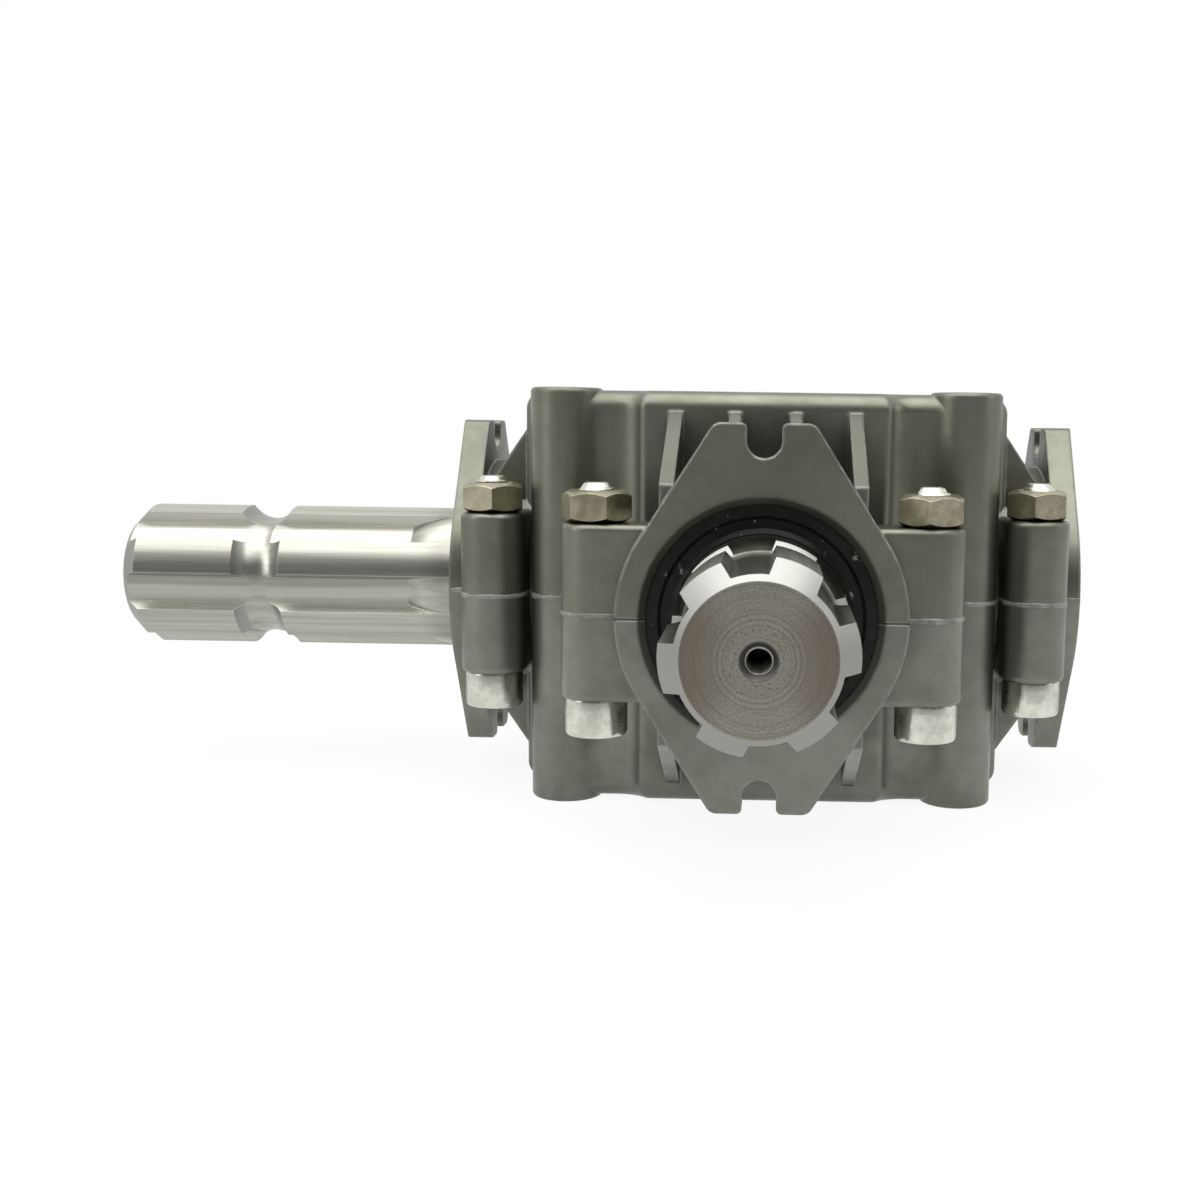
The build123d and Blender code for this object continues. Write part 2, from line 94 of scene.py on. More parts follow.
# small helpers for shader trees
def addNode(tree, kind, values=None, **settings):
    node = tree.nodes.new("ShaderNode" + kind)
    for name, value in settings.items():
        setattr(node, name, value)
    for name, value in (values or {}).items():
        if isinstance(value, bpy.types.NodeSocket):
            tree.links.new(value, node.inputs[name])
        else:
            node.inputs[name].default_value = value
    return node


def calculate(tree, operation, first, second=0.0, third=0.0, clamp=False):
    values = {0: first, 1: second, 2: third}
    return addNode(tree, "Math", values, operation=operation, use_clamp=clamp).outputs[0]


def blendColour(tree, factor, first, second, kind="MIX"):
    values = {0: factor, 6: first, 7: second}
    return addNode(tree, "Mix", values, data_type="RGBA", blend_type=kind).outputs[2]


def blendValue(tree, factor, first, second):
    values = {0: factor, 2: first, 3: second}
    return addNode(tree, "Mix", values, data_type="FLOAT").outputs[0]


def rescale(tree, value, low, high, toLow=0.0, toHigh=1.0):
    values = {"Value": value, "From Min": low, "From Max": high, "To Min": toLow, "To Max": toHigh}
    return addNode(tree, "MapRange", values, interpolation_type="SMOOTHSTEP").outputs[0]


def speckle(tree, vector, scale, detail=2.0, roughness=0.5):
    values = {"Vector": vector, "Scale": scale, "Detail": detail, "Roughness": roughness}
    return addNode(tree, "TexNoise", values).outputs["Fac"]


def oneAxis(tree, vector, axis):
    return addNode(tree, "SeparateXYZ", {0: vector}).outputs[axis]


def fromAxis(tree, vector):      # the vector without its Z, and its length
    flat = addNode(tree, "VectorMath", {0: vector, 1: (1, 1, 0)}, operation="MULTIPLY").outputs[0]
    return flat, addNode(tree, "VectorMath", {0: flat}, operation="LENGTH").outputs["Value"]


def makeGroup(name, inputs, outputs):
    tree = bpy.data.node_groups.new(name, "ShaderNodeTree")
    for label, kind, value in inputs:
        socket = tree.interface.new_socket(name=label, in_out="INPUT", socket_type="NodeSocket" + kind)
        socket.default_value = value
    for label, kind in outputs:
        tree.interface.new_socket(name=label, in_out="OUTPUT", socket_type="NodeSocket" + kind)
    given = tree.nodes.new("NodeGroupInput").outputs
    result = tree.nodes.new("NodeGroupOutput").inputs
    return tree, given, result


def useGroup(tree, group, **values):
    readable = {name.replace("_", " "): value for name, value in values.items()}
    return addNode(tree, "Group", readable, node_tree=group).outputs


# shared effects: softened edges, and a mask along them for wear and painted highlight
edgeWear = {
    "samples": 4,
    "turned": (0.99, 0.80),      # how far the normal turns where wear and painted highlight start and where they are full
    "patchScale": 420,
    "patches": (0.35, 0.62),
    "leastWear": 0.35,
}


def makeRoundedEdges(effect):
    tree, given, result = makeGroup(
        "roundedEdges",
        [("Vector", "Vector", (0, 0, 0)), ("Radius", "Float", 0.0004), ("Wear", "Float", 0.5)],
        [("Mask", "Float"), ("Normal", "Vector")])
    bevel = addNode(tree, "Bevel", {"Radius": given["Radius"]}, samples=effect["samples"])
    flat = addNode(tree, "NewGeometry")
    facing = addNode(tree, "VectorMath", {0: bevel.outputs["Normal"], 1: flat.outputs["Normal"]},
                     operation="DOT_PRODUCT").outputs["Value"]
    turned = rescale(tree, facing, *effect["turned"])
    patchy = speckle(tree, given["Vector"], effect["patchScale"], detail=3)
    patchy = rescale(tree, patchy, *effect["patches"], effect["leastWear"], 1.0)
    mask = calculate(tree, "MULTIPLY", turned, patchy)
    tree.links.new(calculate(tree, "MULTIPLY", mask, given["Wear"], clamp=True), result["Mask"])
    tree.links.new(bevel.outputs["Normal"], result["Normal"])
    return tree


# blasted grain with slow clouds of tone
castGrain = {
    "coarse": 0.22,              # scale of the coarse grain against the fine grain
    "fineHeight": 0.6,
    "coarseHeight": 0.8,
    "clouds": (0.3, 0.7),
    "freckles": (0.3, 0.72),
    "freckleTone": 0.12,
}


def makeCastSkin(effect):
    tree, given, result = makeGroup(
        "castSkin",
        [("Vector", "Vector", (0, 0, 0)), ("Grain Scale", "Float", 1800), ("Cloud Scale", "Float", 55)],
        [("Height", "Float"), ("Tone", "Float")])
    fine = speckle(tree, given["Vector"], given["Grain Scale"], roughness=0.6)
    coarseScale = calculate(tree, "MULTIPLY", given["Grain Scale"], effect["coarse"])
    coarse = speckle(tree, given["Vector"], coarseScale)
    height = calculate(tree, "ADD", calculate(tree, "MULTIPLY", fine, effect["fineHeight"]),
                       calculate(tree, "MULTIPLY", coarse, effect["coarseHeight"]))
    clouds = speckle(tree, given["Vector"], given["Cloud Scale"], detail=4, roughness=0.62)
    clouds = rescale(tree, clouds, *effect["clouds"])
    freckle = rescale(tree, coarse, *effect["freckles"], -effect["freckleTone"], effect["freckleTone"])
    tree.links.new(height, result["Height"])
    tree.links.new(calculate(tree, "ADD", clouds, freckle, clamp=True), result["Tone"])
    return tree


# fine lines that run along Z of the vector
drawnLines = {
    "broad": 0.16,               # density of the broad lines against the fine ones
    "tones": (0.32, 0.68),
}


def makeDrawLines(effect):
    tree, given, result = makeGroup(
        "drawLines",
        [("Vector", "Vector", (0, 0, 0)), ("Density", "Float", 2200), ("Stretch", "Float", 0.02)],
        [("Height", "Float"), ("Tone", "Float")])
    stretch = addNode(tree, "CombineXYZ", {"X": 1.0, "Y": 1.0, "Z": given["Stretch"]}).outputs[0]
    along = addNode(tree, "VectorMath", {0: given["Vector"], 1: stretch}, operation="MULTIPLY").outputs[0]
    fine = speckle(tree, along, given["Density"], detail=3, roughness=0.65)
    broadDensity = calculate(tree, "MULTIPLY", given["Density"], effect["broad"])
    broad = speckle(tree, along, broadDensity, detail=3, roughness=0.6)
    tree.links.new(fine, result["Height"])
    tree.links.new(rescale(tree, broad, *effect["tones"]), result["Tone"])
    return tree


# tool rings about Z of the vector
toolRings = {
    "bandScale": 0.45,           # broad bands against single rings
    "crumbScale": 2600,          # grain that breaks up the rings
    "crumbHeight": 0.5,
    "bandTone": 0.38,
    "crumbTone": 0.62,
    "tones": (0.36, 0.64),
}


def makeTurnedRings(effect):
    tree, given, result = makeGroup(
        "turnedRings",
        [("Vector", "Vector", (0, 0, 0)), ("Spacing", "Float", 0.00035)],
        [("Height", "Float"), ("Tone", "Float")])
    radius = fromAxis(tree, given["Vector"])[1]
    steps = calculate(tree, "DIVIDE", radius, given["Spacing"])

    def ringNoise(scale):
        values = {"W": steps, "Scale": scale, "Detail": 3.0}
        return addNode(tree, "TexNoise", values, noise_dimensions="1D").outputs["Fac"]

    rings = ringNoise(1.0)
    bands = ringNoise(effect["bandScale"])
    crumbs = speckle(tree, given["Vector"], effect["crumbScale"], roughness=0.7)
    height = calculate(tree, "ADD", rings, calculate(tree, "MULTIPLY", crumbs, effect["crumbHeight"]))
    tree.links.new(height, result["Height"])
    mixed = calculate(tree, "ADD", calculate(tree, "MULTIPLY", bands, effect["bandTone"]),
                      calculate(tree, "MULTIPLY", crumbs, effect["crumbTone"]))
    tree.links.new(rescale(tree, mixed, *effect["tones"]), result["Tone"])
    return tree


# thin patches of dust and old grease
dustPatches = {
    "start": 0.78,
    "spread": 0.4,               # how much the amount lowers the start
    "end": 0.82,
}


def makeSmudges(effect):
    tree, given, result = makeGroup(
        "smudges",
        [("Vector", "Vector", (0, 0, 0)), ("Scale", "Float", 120), ("Amount", "Float", 0.4)],
        [("Mask", "Float")])
    broad = speckle(tree, given["Vector"], given["Scale"], detail=5, roughness=0.68)
    lowered = calculate(tree, "MULTIPLY", given["Amount"], effect["spread"])
    start = calculate(tree, "SUBTRACT", effect["start"], lowered)
    tree.links.new(rescale(tree, broad, start, effect["end"]), result["Mask"])
    return tree


roundedEdges = makeRoundedEdges(edgeWear)
castSkin = makeCastSkin(castGrain)
drawLines = makeDrawLines(drawnLines)
turnedRings = makeTurnedRings(toolRings)
smudges = makeSmudges(dustPatches)
print("shared effects are made")


# materials
def startMaterial(name, finish):
    material = bpy.data.materials.new(name)
    material.use_nodes = True
    tree = material.node_tree
    shader = tree.nodes["Principled BSDF"]
    shader.inputs["Metallic"].default_value = finish["metallic"]
    place = addNode(tree, "TexCoord").outputs["Object"]
    return material, tree, shader, place


def useSkin(tree, vector, finish):
    return useGroup(tree, castSkin, Vector=vector, Grain_Scale=finish["grain"], Cloud_Scale=finish["clouds"])


def useEdges(tree, vector, finish):
    return useGroup(tree, roundedEdges, Vector=vector, Radius=finish["edgeRadius"], Wear=finish["wearAndHighlight"])


def useSmudges(tree, vector, finish):
    return useGroup(tree, smudges, Vector=vector, Scale=finish["markScale"], Amount=finish["marks"])


def finishSurface(tree, shader, finish, colour, roughness, height, normal=None):
    values = {"Height": height, "Strength": finish["bump"], "Distance": finish["bumpDepth"]}
    if normal is not None:
        values["Normal"] = normal
    bump = addNode(tree, "Bump", values)
    tree.links.new(colour, shader.inputs["Base Color"])
    tree.links.new(roughness, shader.inputs["Roughness"])
    tree.links.new(bump.outputs[0], shader.inputs["Normal"])


castFinish = {
    "metallic": 0.88,
    "roughness": (0.43, 0.34),
    "grain": 1700,
    "clouds": 48,
    "dark": (0.156, 0.160, 0.143, 1),
    "light": (0.200, 0.205, 0.185, 1),
    "upperPaintedShade": (0.91, 0.91, 0.80, 1),      # tint of each half: painted shade darkens the upper half, painted light brightens the lower
    "lowerPaintedLight": (1.07, 1.07, 1.00, 1),
    "edge": (0.52, 0.525, 0.49, 1),
    "edgeRadius": 0.0010,
    "wearAndHighlight": 0.55,
    "seam": (0.055, 0.055, 0.048, 1),
    "seamHalf": 0.00013,         # dark line where the halves meet
    "paintedShade": (0.030, 0.030, 0.025, 1),
    "shadeReach": 0.018,         # how far the painted shade spreads out of the corners
    "shadeSamples": 6,
    "shadeOpenness": (0.20, 0.85),       # from full painted shade to none
    "shadeAmount": 0.42,
    "bump": 0.30,
    "bumpDepth": 0.00012,
}


def castAluminium(name, finish, paintedHalfLight):
    material, tree, shader, place = startMaterial(name, finish)
    skin = useSkin(tree, place, finish)
    edges = useEdges(tree, place, finish)
    colour = blendColour(tree, skin["Tone"], finish["dark"], finish["light"])
    # painted light and shade: the half's tint darkens the upper half and lightens the lower
    colour = blendColour(tree, 1.0, colour, paintedHalfLight, "MULTIPLY")
    # painted shade: the colour darkens where ambient occlusion finds corners, recesses and gaps under the
    # flanges
    openness = addNode(tree, "AmbientOcclusion", {"Distance": finish["shadeReach"]},
                       samples=finish["shadeSamples"]).outputs["AO"]
    paintedShade = rescale(tree, openness, *finish["shadeOpenness"], finish["shadeAmount"], 0.0)
    colour = blendColour(tree, paintedShade, colour, finish["paintedShade"])
    # edges lightened: partly wear, partly a painted highlight where rounded edges catch the light
    colour = blendColour(tree, edges["Mask"], colour, finish["edge"])
    fromSplit = calculate(tree, "SUBTRACT", oneAxis(tree, place, "Z"), axisHeight)
    fromSplit = calculate(tree, "ABSOLUTE", fromSplit)
    line = rescale(tree, fromSplit, finish["seamHalf"], 2 * finish["seamHalf"], 1.0, 0.0)
    colour = blendColour(tree, line, colour, finish["seam"])
    roughness = rescale(tree, skin["Tone"], 0.0, 1.0, *finish["roughness"])
    finishSurface(tree, shader, finish, colour, roughness, skin["Height"], edges["Normal"])
    return material


steelFinish = {
    "metallic": 1.0,
    "roughness": (0.31, 0.42),   # side and end face
    "dark": (0.34, 0.337, 0.295, 1),
    "light": (0.49, 0.487, 0.432, 1),
    "faceDark": (0.205, 0.198, 0.165, 1),
    "faceLight": (0.310, 0.302, 0.260, 1),
    "faceTurn": (0.93, 0.985),   # a surface that faces along the axis belongs to an end face
    "chamfer": (0.30, 0.30, 0.28, 1),
    "chamferTurn": (0.45, 0.60),
    "lineDensity": 2400,
    "lineStretch": 0.02,
    "ringSpacing": 0.00022,
    "mark": (0.24, 0.195, 0.150, 1),
    "markScale": 90,
    "marks": 0.3,
    "markAmount": 0.5,
    "edge": (0.66, 0.655, 0.62, 1),
    "edgeRadius": 0.00025,
    "wearAndHighlight": 0.5,
    # dark colour of old oil, pits and the oily centre rim, also used for the painted shade between the
    # splines
    "oil": (0.060, 0.055, 0.042, 1),
    "oilScale": 60,
    "oilPatches": (0.3, 0.6),
    "leastOil": 0.55,
    "rootShadeRadii": (0.0150, 0.0171),  # radii between which painted shade lies in the roots between the splines
    "centre": (0.0033, 0.0036),  # oily rim of the centre hole
    "centreAmount": 0.85,
    # painted reflection: brown on the end face's left and right sectors
    "reflectionBrown": (0.135, 0.102, 0.078, 1),
    "reflectionAcross": (0.45, 0.98), # left and right of the centre
    "reflectionRadius": (0.003, 0.012),
    "reflectionAmount": 0.62,
    "pitScale": 1400,
    "pits": (0.36, 0.44),
    "pitAmount": 0.7,
    "pitRadius": (0.003, 0.0095),
    "outerPits": 0.15,
    "bump": 0.35,
    "bumpDepth": 0.00006,
}
shaftFrames = {      # turns each shaft so that its axis is Z, outward up
    "input_shaft": {
        "turn": (-90, 0, 0),
        "shift": (0, -axisHeight, 0),
        "port": frontReach,
        "stain": (0.006, 0.044),         # old oil, from its full strength to none, past the port
        "stainAmount": 0.9,
        "rootShadeAmount": 0.7,
    },
    "output_shaft": {
        "turn": (0, 90, 0),
        "shift": (-axisHeight, 0, 0),
        "port": sideReach,
        "stain": (0.003, 0.012),
        "stainAmount": 0.35,
        "rootShadeAmount": 0.15,
    },
}


def turnedSteel(name, finish, shaft):
    material, tree, shader, place = startMaterial(name, finish)
    turn = [radians(angle) for angle in shaft["turn"]]
    local = addNode(tree, "Mapping", {"Vector": place, "Location": shaft["shift"],
                                      "Rotation": turn}).outputs[0]
    normal = addNode(tree, "TexCoord").outputs["Normal"]
    direction = addNode(tree, "Mapping", {"Vector": normal, "Rotation": turn},
                        vector_type="NORMAL").outputs[0]
    alongAxis = calculate(tree, "ABSOLUTE", oneAxis(tree, direction, "Z"))
    endFace = rescale(tree, alongAxis, *finish["faceTurn"])
    flat, radius = fromAxis(tree, local)
    lines = useGroup(tree, drawLines, Vector=local, Density=finish["lineDensity"],
                     Stretch=finish["lineStretch"])
    rings = useGroup(tree, turnedRings, Vector=local, Spacing=finish["ringSpacing"])
    marks = useSmudges(tree, local, finish)
    edges = useEdges(tree, local, finish)

    # side: drawn lines, with oil near the port and painted shade between the splines
    side = blendColour(tree, lines["Tone"], finish["dark"], finish["light"])
    stainStart, stainEnd = [shaft["port"] + reach for reach in shaft["stain"]]
    nearPort = rescale(tree, oneAxis(tree, local, "Z"), stainStart, stainEnd, shaft["stainAmount"], 0.0)
    patches = speckle(tree, local, finish["oilScale"], detail=3)
    patches = rescale(tree, patches, *finish["oilPatches"], finish["leastOil"], 1.0)
    # painted shade in the roots between the splines, darkest at the smallest radius
    paintedRootShade = rescale(tree, radius, *finish["rootShadeRadii"], shaft["rootShadeAmount"], 0.0)
    oiled = calculate(tree, "MAXIMUM", calculate(tree, "MULTIPLY", nearPort, patches), paintedRootShade)
    side = blendColour(tree, oiled, side, finish["oil"])
    chamfer = calculate(tree, "MULTIPLY", rescale(tree, alongAxis, *finish["chamferTurn"]),
                        calculate(tree, "SUBTRACT", 1.0, endFace))
    side = blendColour(tree, chamfer, side, finish["chamfer"])

    # end face: tool rings, with a painted brown reflection to the left and right, and pits round the centre
    face = blendColour(tree, rings["Tone"], finish["faceDark"], finish["faceLight"])
    outward = addNode(tree, "VectorMath", {0: flat}, operation="NORMALIZE").outputs[0]
    across = calculate(tree, "ABSOLUTE", oneAxis(tree, outward, "X"))
    paintedReflection = rescale(tree, across, *finish["reflectionAcross"], 0.0, finish["reflectionAmount"])
    paintedReflection = calculate(tree, "MULTIPLY", paintedReflection, rescale(tree, radius, *finish["reflectionRadius"]))
    face = blendColour(tree, paintedReflection, face, finish["reflectionBrown"])
    pits = speckle(tree, local, finish["pitScale"], detail=4, roughness=0.7)
    pits = rescale(tree, pits, *finish["pits"], finish["pitAmount"], 0.0)
    inner = rescale(tree, radius, *finish["pitRadius"], 1.0, finish["outerPits"])
    face = blendColour(tree, calculate(tree, "MULTIPLY", pits, inner), face, finish["oil"])

    colour = blendColour(tree, endFace, side, face)
    centre = rescale(tree, radius, *finish["centre"], finish["centreAmount"], 0.0)
    colour = blendColour(tree, centre, colour, finish["oil"])
    marked = calculate(tree, "MULTIPLY", marks["Mask"], finish["markAmount"])
    colour = blendColour(tree, marked, colour, finish["mark"])
    # edges lightened: partly wear, partly a painted highlight where rounded edges catch the light
    colour = blendColour(tree, edges["Mask"], colour, finish["edge"])
    height = blendValue(tree, endFace, lines["Height"], rings["Height"])
    roughness = calculate(tree, "MAXIMUM", endFace, chamfer)
    roughness = rescale(tree, roughness, 0.0, 1.0, *finish["roughness"])
    finishSurface(tree, shader, finish, colour, roughness, height, edges["Normal"])
    return material


plating = {          # what the small metal parts share
    "metallic": 1.0,
    "roughness": 0.30,
    "duller": 0.06,              # change of roughness with the tone
    "shinier": 0.05,
    "grain": 2200,
    "clouds": 260,
    "edgeRadius": 0.00025,
    "wearAndHighlight": 0.5,
    "markScale": 330,
    "marks": 0.38,
    "bump": 0.25,
    "bumpDepth": 0.00006,
}
finishes = {
    "bright_zinc": dict(plating, dark=(0.55, 0.545, 0.48, 1), light=(0.70, 0.695, 0.62, 1),
                        edge=(0.80, 0.79, 0.74, 1), mark=(0.25, 0.235, 0.19, 1), roughness=0.24, bump=0.12),
    "yellow_zinc": dict(plating, dark=(0.26, 0.243, 0.168, 1), light=(0.45, 0.422, 0.305, 1),
                        edge=(0.52, 0.49, 0.40, 1), mark=(0.10, 0.085, 0.055, 1), roughness=0.32),
    "soft_aluminium": dict(plating, dark=(0.55, 0.55, 0.55, 1), light=(0.72, 0.72, 0.71, 1),
                           edge=(0.82, 0.82, 0.81, 1), mark=(0.40, 0.39, 0.37, 1)),
    "gear_steel": dict(plating, dark=(0.33, 0.32, 0.30, 1), light=(0.46, 0.45, 0.43, 1),
                       edge=(0.68, 0.67, 0.65, 1), mark=(0.20, 0.17, 0.13, 1), roughness=0.36),
    "ground_steel": dict(plating, dark=(0.55, 0.55, 0.54, 1), light=(0.66, 0.66, 0.65, 1),
                         edge=(0.78, 0.78, 0.77, 1), mark=(0.42, 0.40, 0.37, 1), roughness=0.22),
    "spring_steel": dict(plating, dark=(0.06, 0.06, 0.06, 1), light=(0.11, 0.11, 0.11, 1),
                         edge=(0.35, 0.35, 0.34, 1), mark=(0.04, 0.035, 0.03, 1), roughness=0.38),
    "bearing_steel": dict(plating, dark=(0.62, 0.62, 0.61, 1), light=(0.72, 0.72, 0.72, 1),
                          edge=(0.82, 0.82, 0.82, 1), mark=(0.50, 0.49, 0.47, 1), roughness=0.16, bump=0.06),
    "cage_steel": dict(plating, dark=(0.42, 0.40, 0.35, 1), light=(0.55, 0.53, 0.47, 1),
                       edge=(0.70, 0.68, 0.62, 1), mark=(0.30, 0.28, 0.23, 1), roughness=0.32),
}


def platedSteel(name, finish):
    material, tree, shader, place = startMaterial(name, finish)
    skin = useSkin(tree, place, finish)
    edges = useEdges(tree, place, finish)
    marks = useSmudges(tree, place, finish)
    colour = blendColour(tree, skin["Tone"], finish["dark"], finish["light"])
    colour = blendColour(tree, marks["Mask"], colour, finish["mark"])
    # edges lightened: partly wear, partly a painted highlight where rounded edges catch the light
    colour = blendColour(tree, edges["Mask"], colour, finish["edge"])
    roughness = rescale(tree, skin["Tone"], 0.0, 1.0, finish["roughness"] + finish["duller"],
                        finish["roughness"] - finish["shinier"])
    finishSurface(tree, shader, finish, colour, roughness, skin["Height"], edges["Normal"])
    return material


rubberFinish = {
    "metallic": 0.0,
    "specular": 0.14,
    "roughness": (0.24, 0.50),   # clean and dusty
    "grain": 2600,
    "clouds": 150,
    "dark": (0.0050, 0.0046, 0.0038, 1),
    "light": (0.010, 0.0095, 0.0080, 1),
    "edgeRadius": 0.0003,
    "dust": (0.030, 0.030, 0.025, 1),
    "dustAmount": 0.6,
    "markScale": 260,
    "marks": 0.62,
    "smear": (0.16, 0.165, 0.145, 1),
    "smearScale": 330,
    "smears": (0.66, 0.70),
    "bump": 0.2,
    "bumpDepth": 0.00008,
}


def sealRubber(finish):
    material, tree, shader, place = startMaterial("seal_rubber", finish)
    shader.inputs["Specular IOR Level"].default_value = finish["specular"]
    skin = useSkin(tree, place, finish)
    marks = useSmudges(tree, place, finish)
    edges = useGroup(tree, roundedEdges, Vector=place, Radius=finish["edgeRadius"])
    colour = blendColour(tree, skin["Tone"], finish["dark"], finish["light"])
    dusty = calculate(tree, "MULTIPLY", marks["Mask"], finish["dustAmount"])
    colour = blendColour(tree, dusty, colour, finish["dust"])
    smears = speckle(tree, place, finish["smearScale"], detail=3, roughness=0.6)
    colour = blendColour(tree, rescale(tree, smears, *finish["smears"]), colour, finish["smear"])
    roughness = rescale(tree, marks["Mask"], 0.0, 1.0, *finish["roughness"])
    finishSurface(tree, shader, finish, colour, roughness, skin["Height"], edges["Normal"])
    return material


sealantFinish = {
    "metallic": 0.25,
    "roughness": (0.52, 0.36),
    "grain": 900,
    "clouds": 300,
    "dark": (0.13, 0.132, 0.115, 1),
    "light": (0.235, 0.239, 0.212, 1),
    "mark": (0.10, 0.10, 0.088, 1),
    "markScale": 400,
    "marks": 0.35,
    "bump": 0.35,
    "bumpDepth": 0.00015,
}


def jointSealant(finish):
    material, tree, shader, place = startMaterial("joint_sealant", finish)
    skin = useSkin(tree, place, finish)
    marks = useSmudges(tree, place, finish)
    colour = blendColour(tree, skin["Tone"], finish["dark"], finish["light"])
    colour = blendColour(tree, marks["Mask"], colour, finish["mark"])
    roughness = rescale(tree, skin["Tone"], 0.0, 1.0, *finish["roughness"])
    finishSurface(tree, shader, finish, colour, roughness, skin["Height"])
    return material


def dress(node, material):
    nodes[node].data.materials.clear()
    nodes[node].data.materials.append(material)


metals = {name: platedSteel(name, finish) for name, finish in finishes.items()}
rubber = sealRubber(rubberFinish)
dress("upper_casing", castAluminium("cast_aluminium_upper_shaded", castFinish, castFinish["upperPaintedShade"]))
dress("lower_casing", castAluminium("cast_aluminium_lower_lit", castFinish, castFinish["lowerPaintedLight"]))
for name, shaft in shaftFrames.items():
    dress(name, turnedSteel("turnedSteel_" + name, steelFinish, shaft))
for part in frame["record"]["subparts"]:
    if part["material_slot"] in metals:
        dress(part["node"], metals[part["material_slot"]])
    elif part["material_slot"] == "seal_rubber":
        dress(part["node"], rubber)
print("materials are on")


# meshes of my own
weldDistance = 1e-6
stepsPerPitch = 8                # rings in each turn of a thread


def addPiece(name, mesh, body, material, smoothAngle=32):
    mesh.normal_update()
    data = bpy.data.meshes.new(name)
    mesh.to_mesh(data)
    mesh.free()
    for face in data.polygons:
        face.use_smooth = True
    data.set_sharp_from_angle(angle=radians(smoothAngle))
    data.materials.append(material)
    piece = bpy.data.objects.new(name, data)
    scene.collection.objects.link(piece)
    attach(piece, body)
    return piece


def weldedCopy(node):
    mesh = bmesh.new()
    mesh.from_mesh(nodes[node].data)
    bmesh.ops.remove_doubles(mesh, verts=mesh.verts, dist=weldDistance)
    return mesh


def islandCentres(node):         # middle of each loose solid of a CAD node, seen from above
    mesh = weldedCopy(node)
    waiting = set(mesh.verts)
    centres = []
    while waiting:
        grown = [waiting.pop()]
        island = []
        while grown:
            vert = grown.pop()
            island.append(vert.co)
            near = {edge.other_vert(vert) for edge in vert.link_edges} & waiting
            waiting -= near
            grown.extend(near)
        low = [min(point[axis] for point in island) for axis in (0, 1)]
        high = [max(point[axis] for point in island) for axis in (0, 1)]
        centres.append(((low[0] + high[0]) / 2, (low[1] + high[1]) / 2))
    mesh.free()
    return sorted(centres)


# a ring is a function that gives a radius and a height for every angle
def spinRings(mesh, rings, count, placeAt, capped=False, closed=False):
    rows = []
    for ring in rings:
        row = []
        for step in range(count):
            angle = 2 * pi * step / count
            radius, height = ring(angle)
            row.append(mesh.verts.new(placeAt @ Vector((radius * cos(angle), radius * sin(angle), height))))
        rows.append(row)
    pairs = list(zip(rows, rows[1:])) + ([(rows[-1], rows[0])] if closed else [])
    for first, second in pairs:
        for step in range(count):
            after = (step + 1) % count
            mesh.faces.new((first[step], first[after], second[after], second[step]))
    if capped:
        mesh.faces.new(reversed(rows[0]))
        mesh.faces.new(rows[-1])


def ringAt(radius, height):
    return lambda angle: (radius, height)


def hexRadius(flats, angle):
    return flats / 2 / cos((angle + pi / 6) % (pi / 3) - pi / 6)


def hexRing(flats, height):
    return lambda angle: (hexRadius(flats, angle), height)


def chamferedHex(flats, circle, height, slope):      # edge where a cone trims the hexagon's corners
    def ring(angle):
        radius = hexRadius(flats, angle)
        return radius, height - slope * max(0.0, radius - circle)
    return ring


def threadRing(outer, depth, pitch, along, height):  # one cut through a thread, this far along it
    def ring(angle):
        phase = (along / pitch - angle / (2 * pi)) % 1.0
        return outer - depth * abs(2 * phase - 1), height
    return ring


nutShape = {
    "flats": 0.013,
    "bore": 0.0040,
    "sink": 0.00045,             # countersink of the bore
    "chamfer": tan(radians(31)),
    "circle": 0.0055,            # flat ring inside the chamfer
    "steps": 96,
    "frontFrom": 0.7,            # nuts further forward than this share of the side reach are front ones
    "turns": {"front": (22.4, -6.4), "side": (8.6, 22, -14, 34)},        # degrees, as they were tightened
}


def makeNuts(shape):
    mesh = bmesh.new()
    low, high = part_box("casing_nuts")
    bottom, top = low[2], high[2]
    turns = {kind: list(values) for kind, values in shape["turns"].items()}
    for x, y in islandCentres("casing_nuts"):
        kind = "front" if y < -sideReach * shape["frontFrom"] else "side"
        turn = radians(turns[kind].pop(0))
        placeAt = Matrix.Translation((x, y, 0)) @ Matrix.Rotation(turn, 4, "Z")
        rings = [
            ringAt(shape["bore"], bottom),
            ringAt(shape["circle"], bottom),
            chamferedHex(shape["flats"], shape["circle"], bottom, -shape["chamfer"]),
            chamferedHex(shape["flats"], shape["circle"], top, shape["chamfer"]),
            ringAt(shape["circle"], top),
            ringAt(shape["bore"] + shape["sink"], top),
            ringAt(shape["bore"], top - shape["sink"]),
        ]
        spinRings(mesh, rings, shape["steps"], placeAt, closed=True)
    piece = addPiece("clamp_nuts", mesh, "housing", metals["yellow_zinc"])
    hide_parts("casing_nuts")


screwShape = {
    "head": 0.0065,
    "headHeight": 0.008,
    "edge": 0.0007,              # rounding of the head
    "rim": ((1.3, 0.0), (0.45, 0.3), (0.1, 1.0)),        # inset and height, in edges
    "knurl": 0.00009,
    "knurlTeeth": 60,
    "knurlEnds": (1.5, 0.6),     # plain bands at both ends of the knurl, in edges
    "seatInset": 0.2,
    "socketFlats": 0.006,
    "socketDepth": 0.004,
    "socketTaper": 0.0002,
    "socketFloor": 0.0004,
    "socketRim": 0.0037,
    "shank": 0.0039,
    "pitch": 0.00125,
    "threadDepth": 0.00055,
    "threadLength": 0.0034,
    "tip": 0.0013,
    "tipNeck": (0.0002, 0.8),    # below the thread's root, and the drop in tips
    "tipProfile": ((0.68, 0.22), (0.58, 0.04), (0.2, 0.0)),      # radius in shanks and drop in tips
    "turnEach": 47,              # degrees from one screw to the next
    "smoothAngle": 24,
}


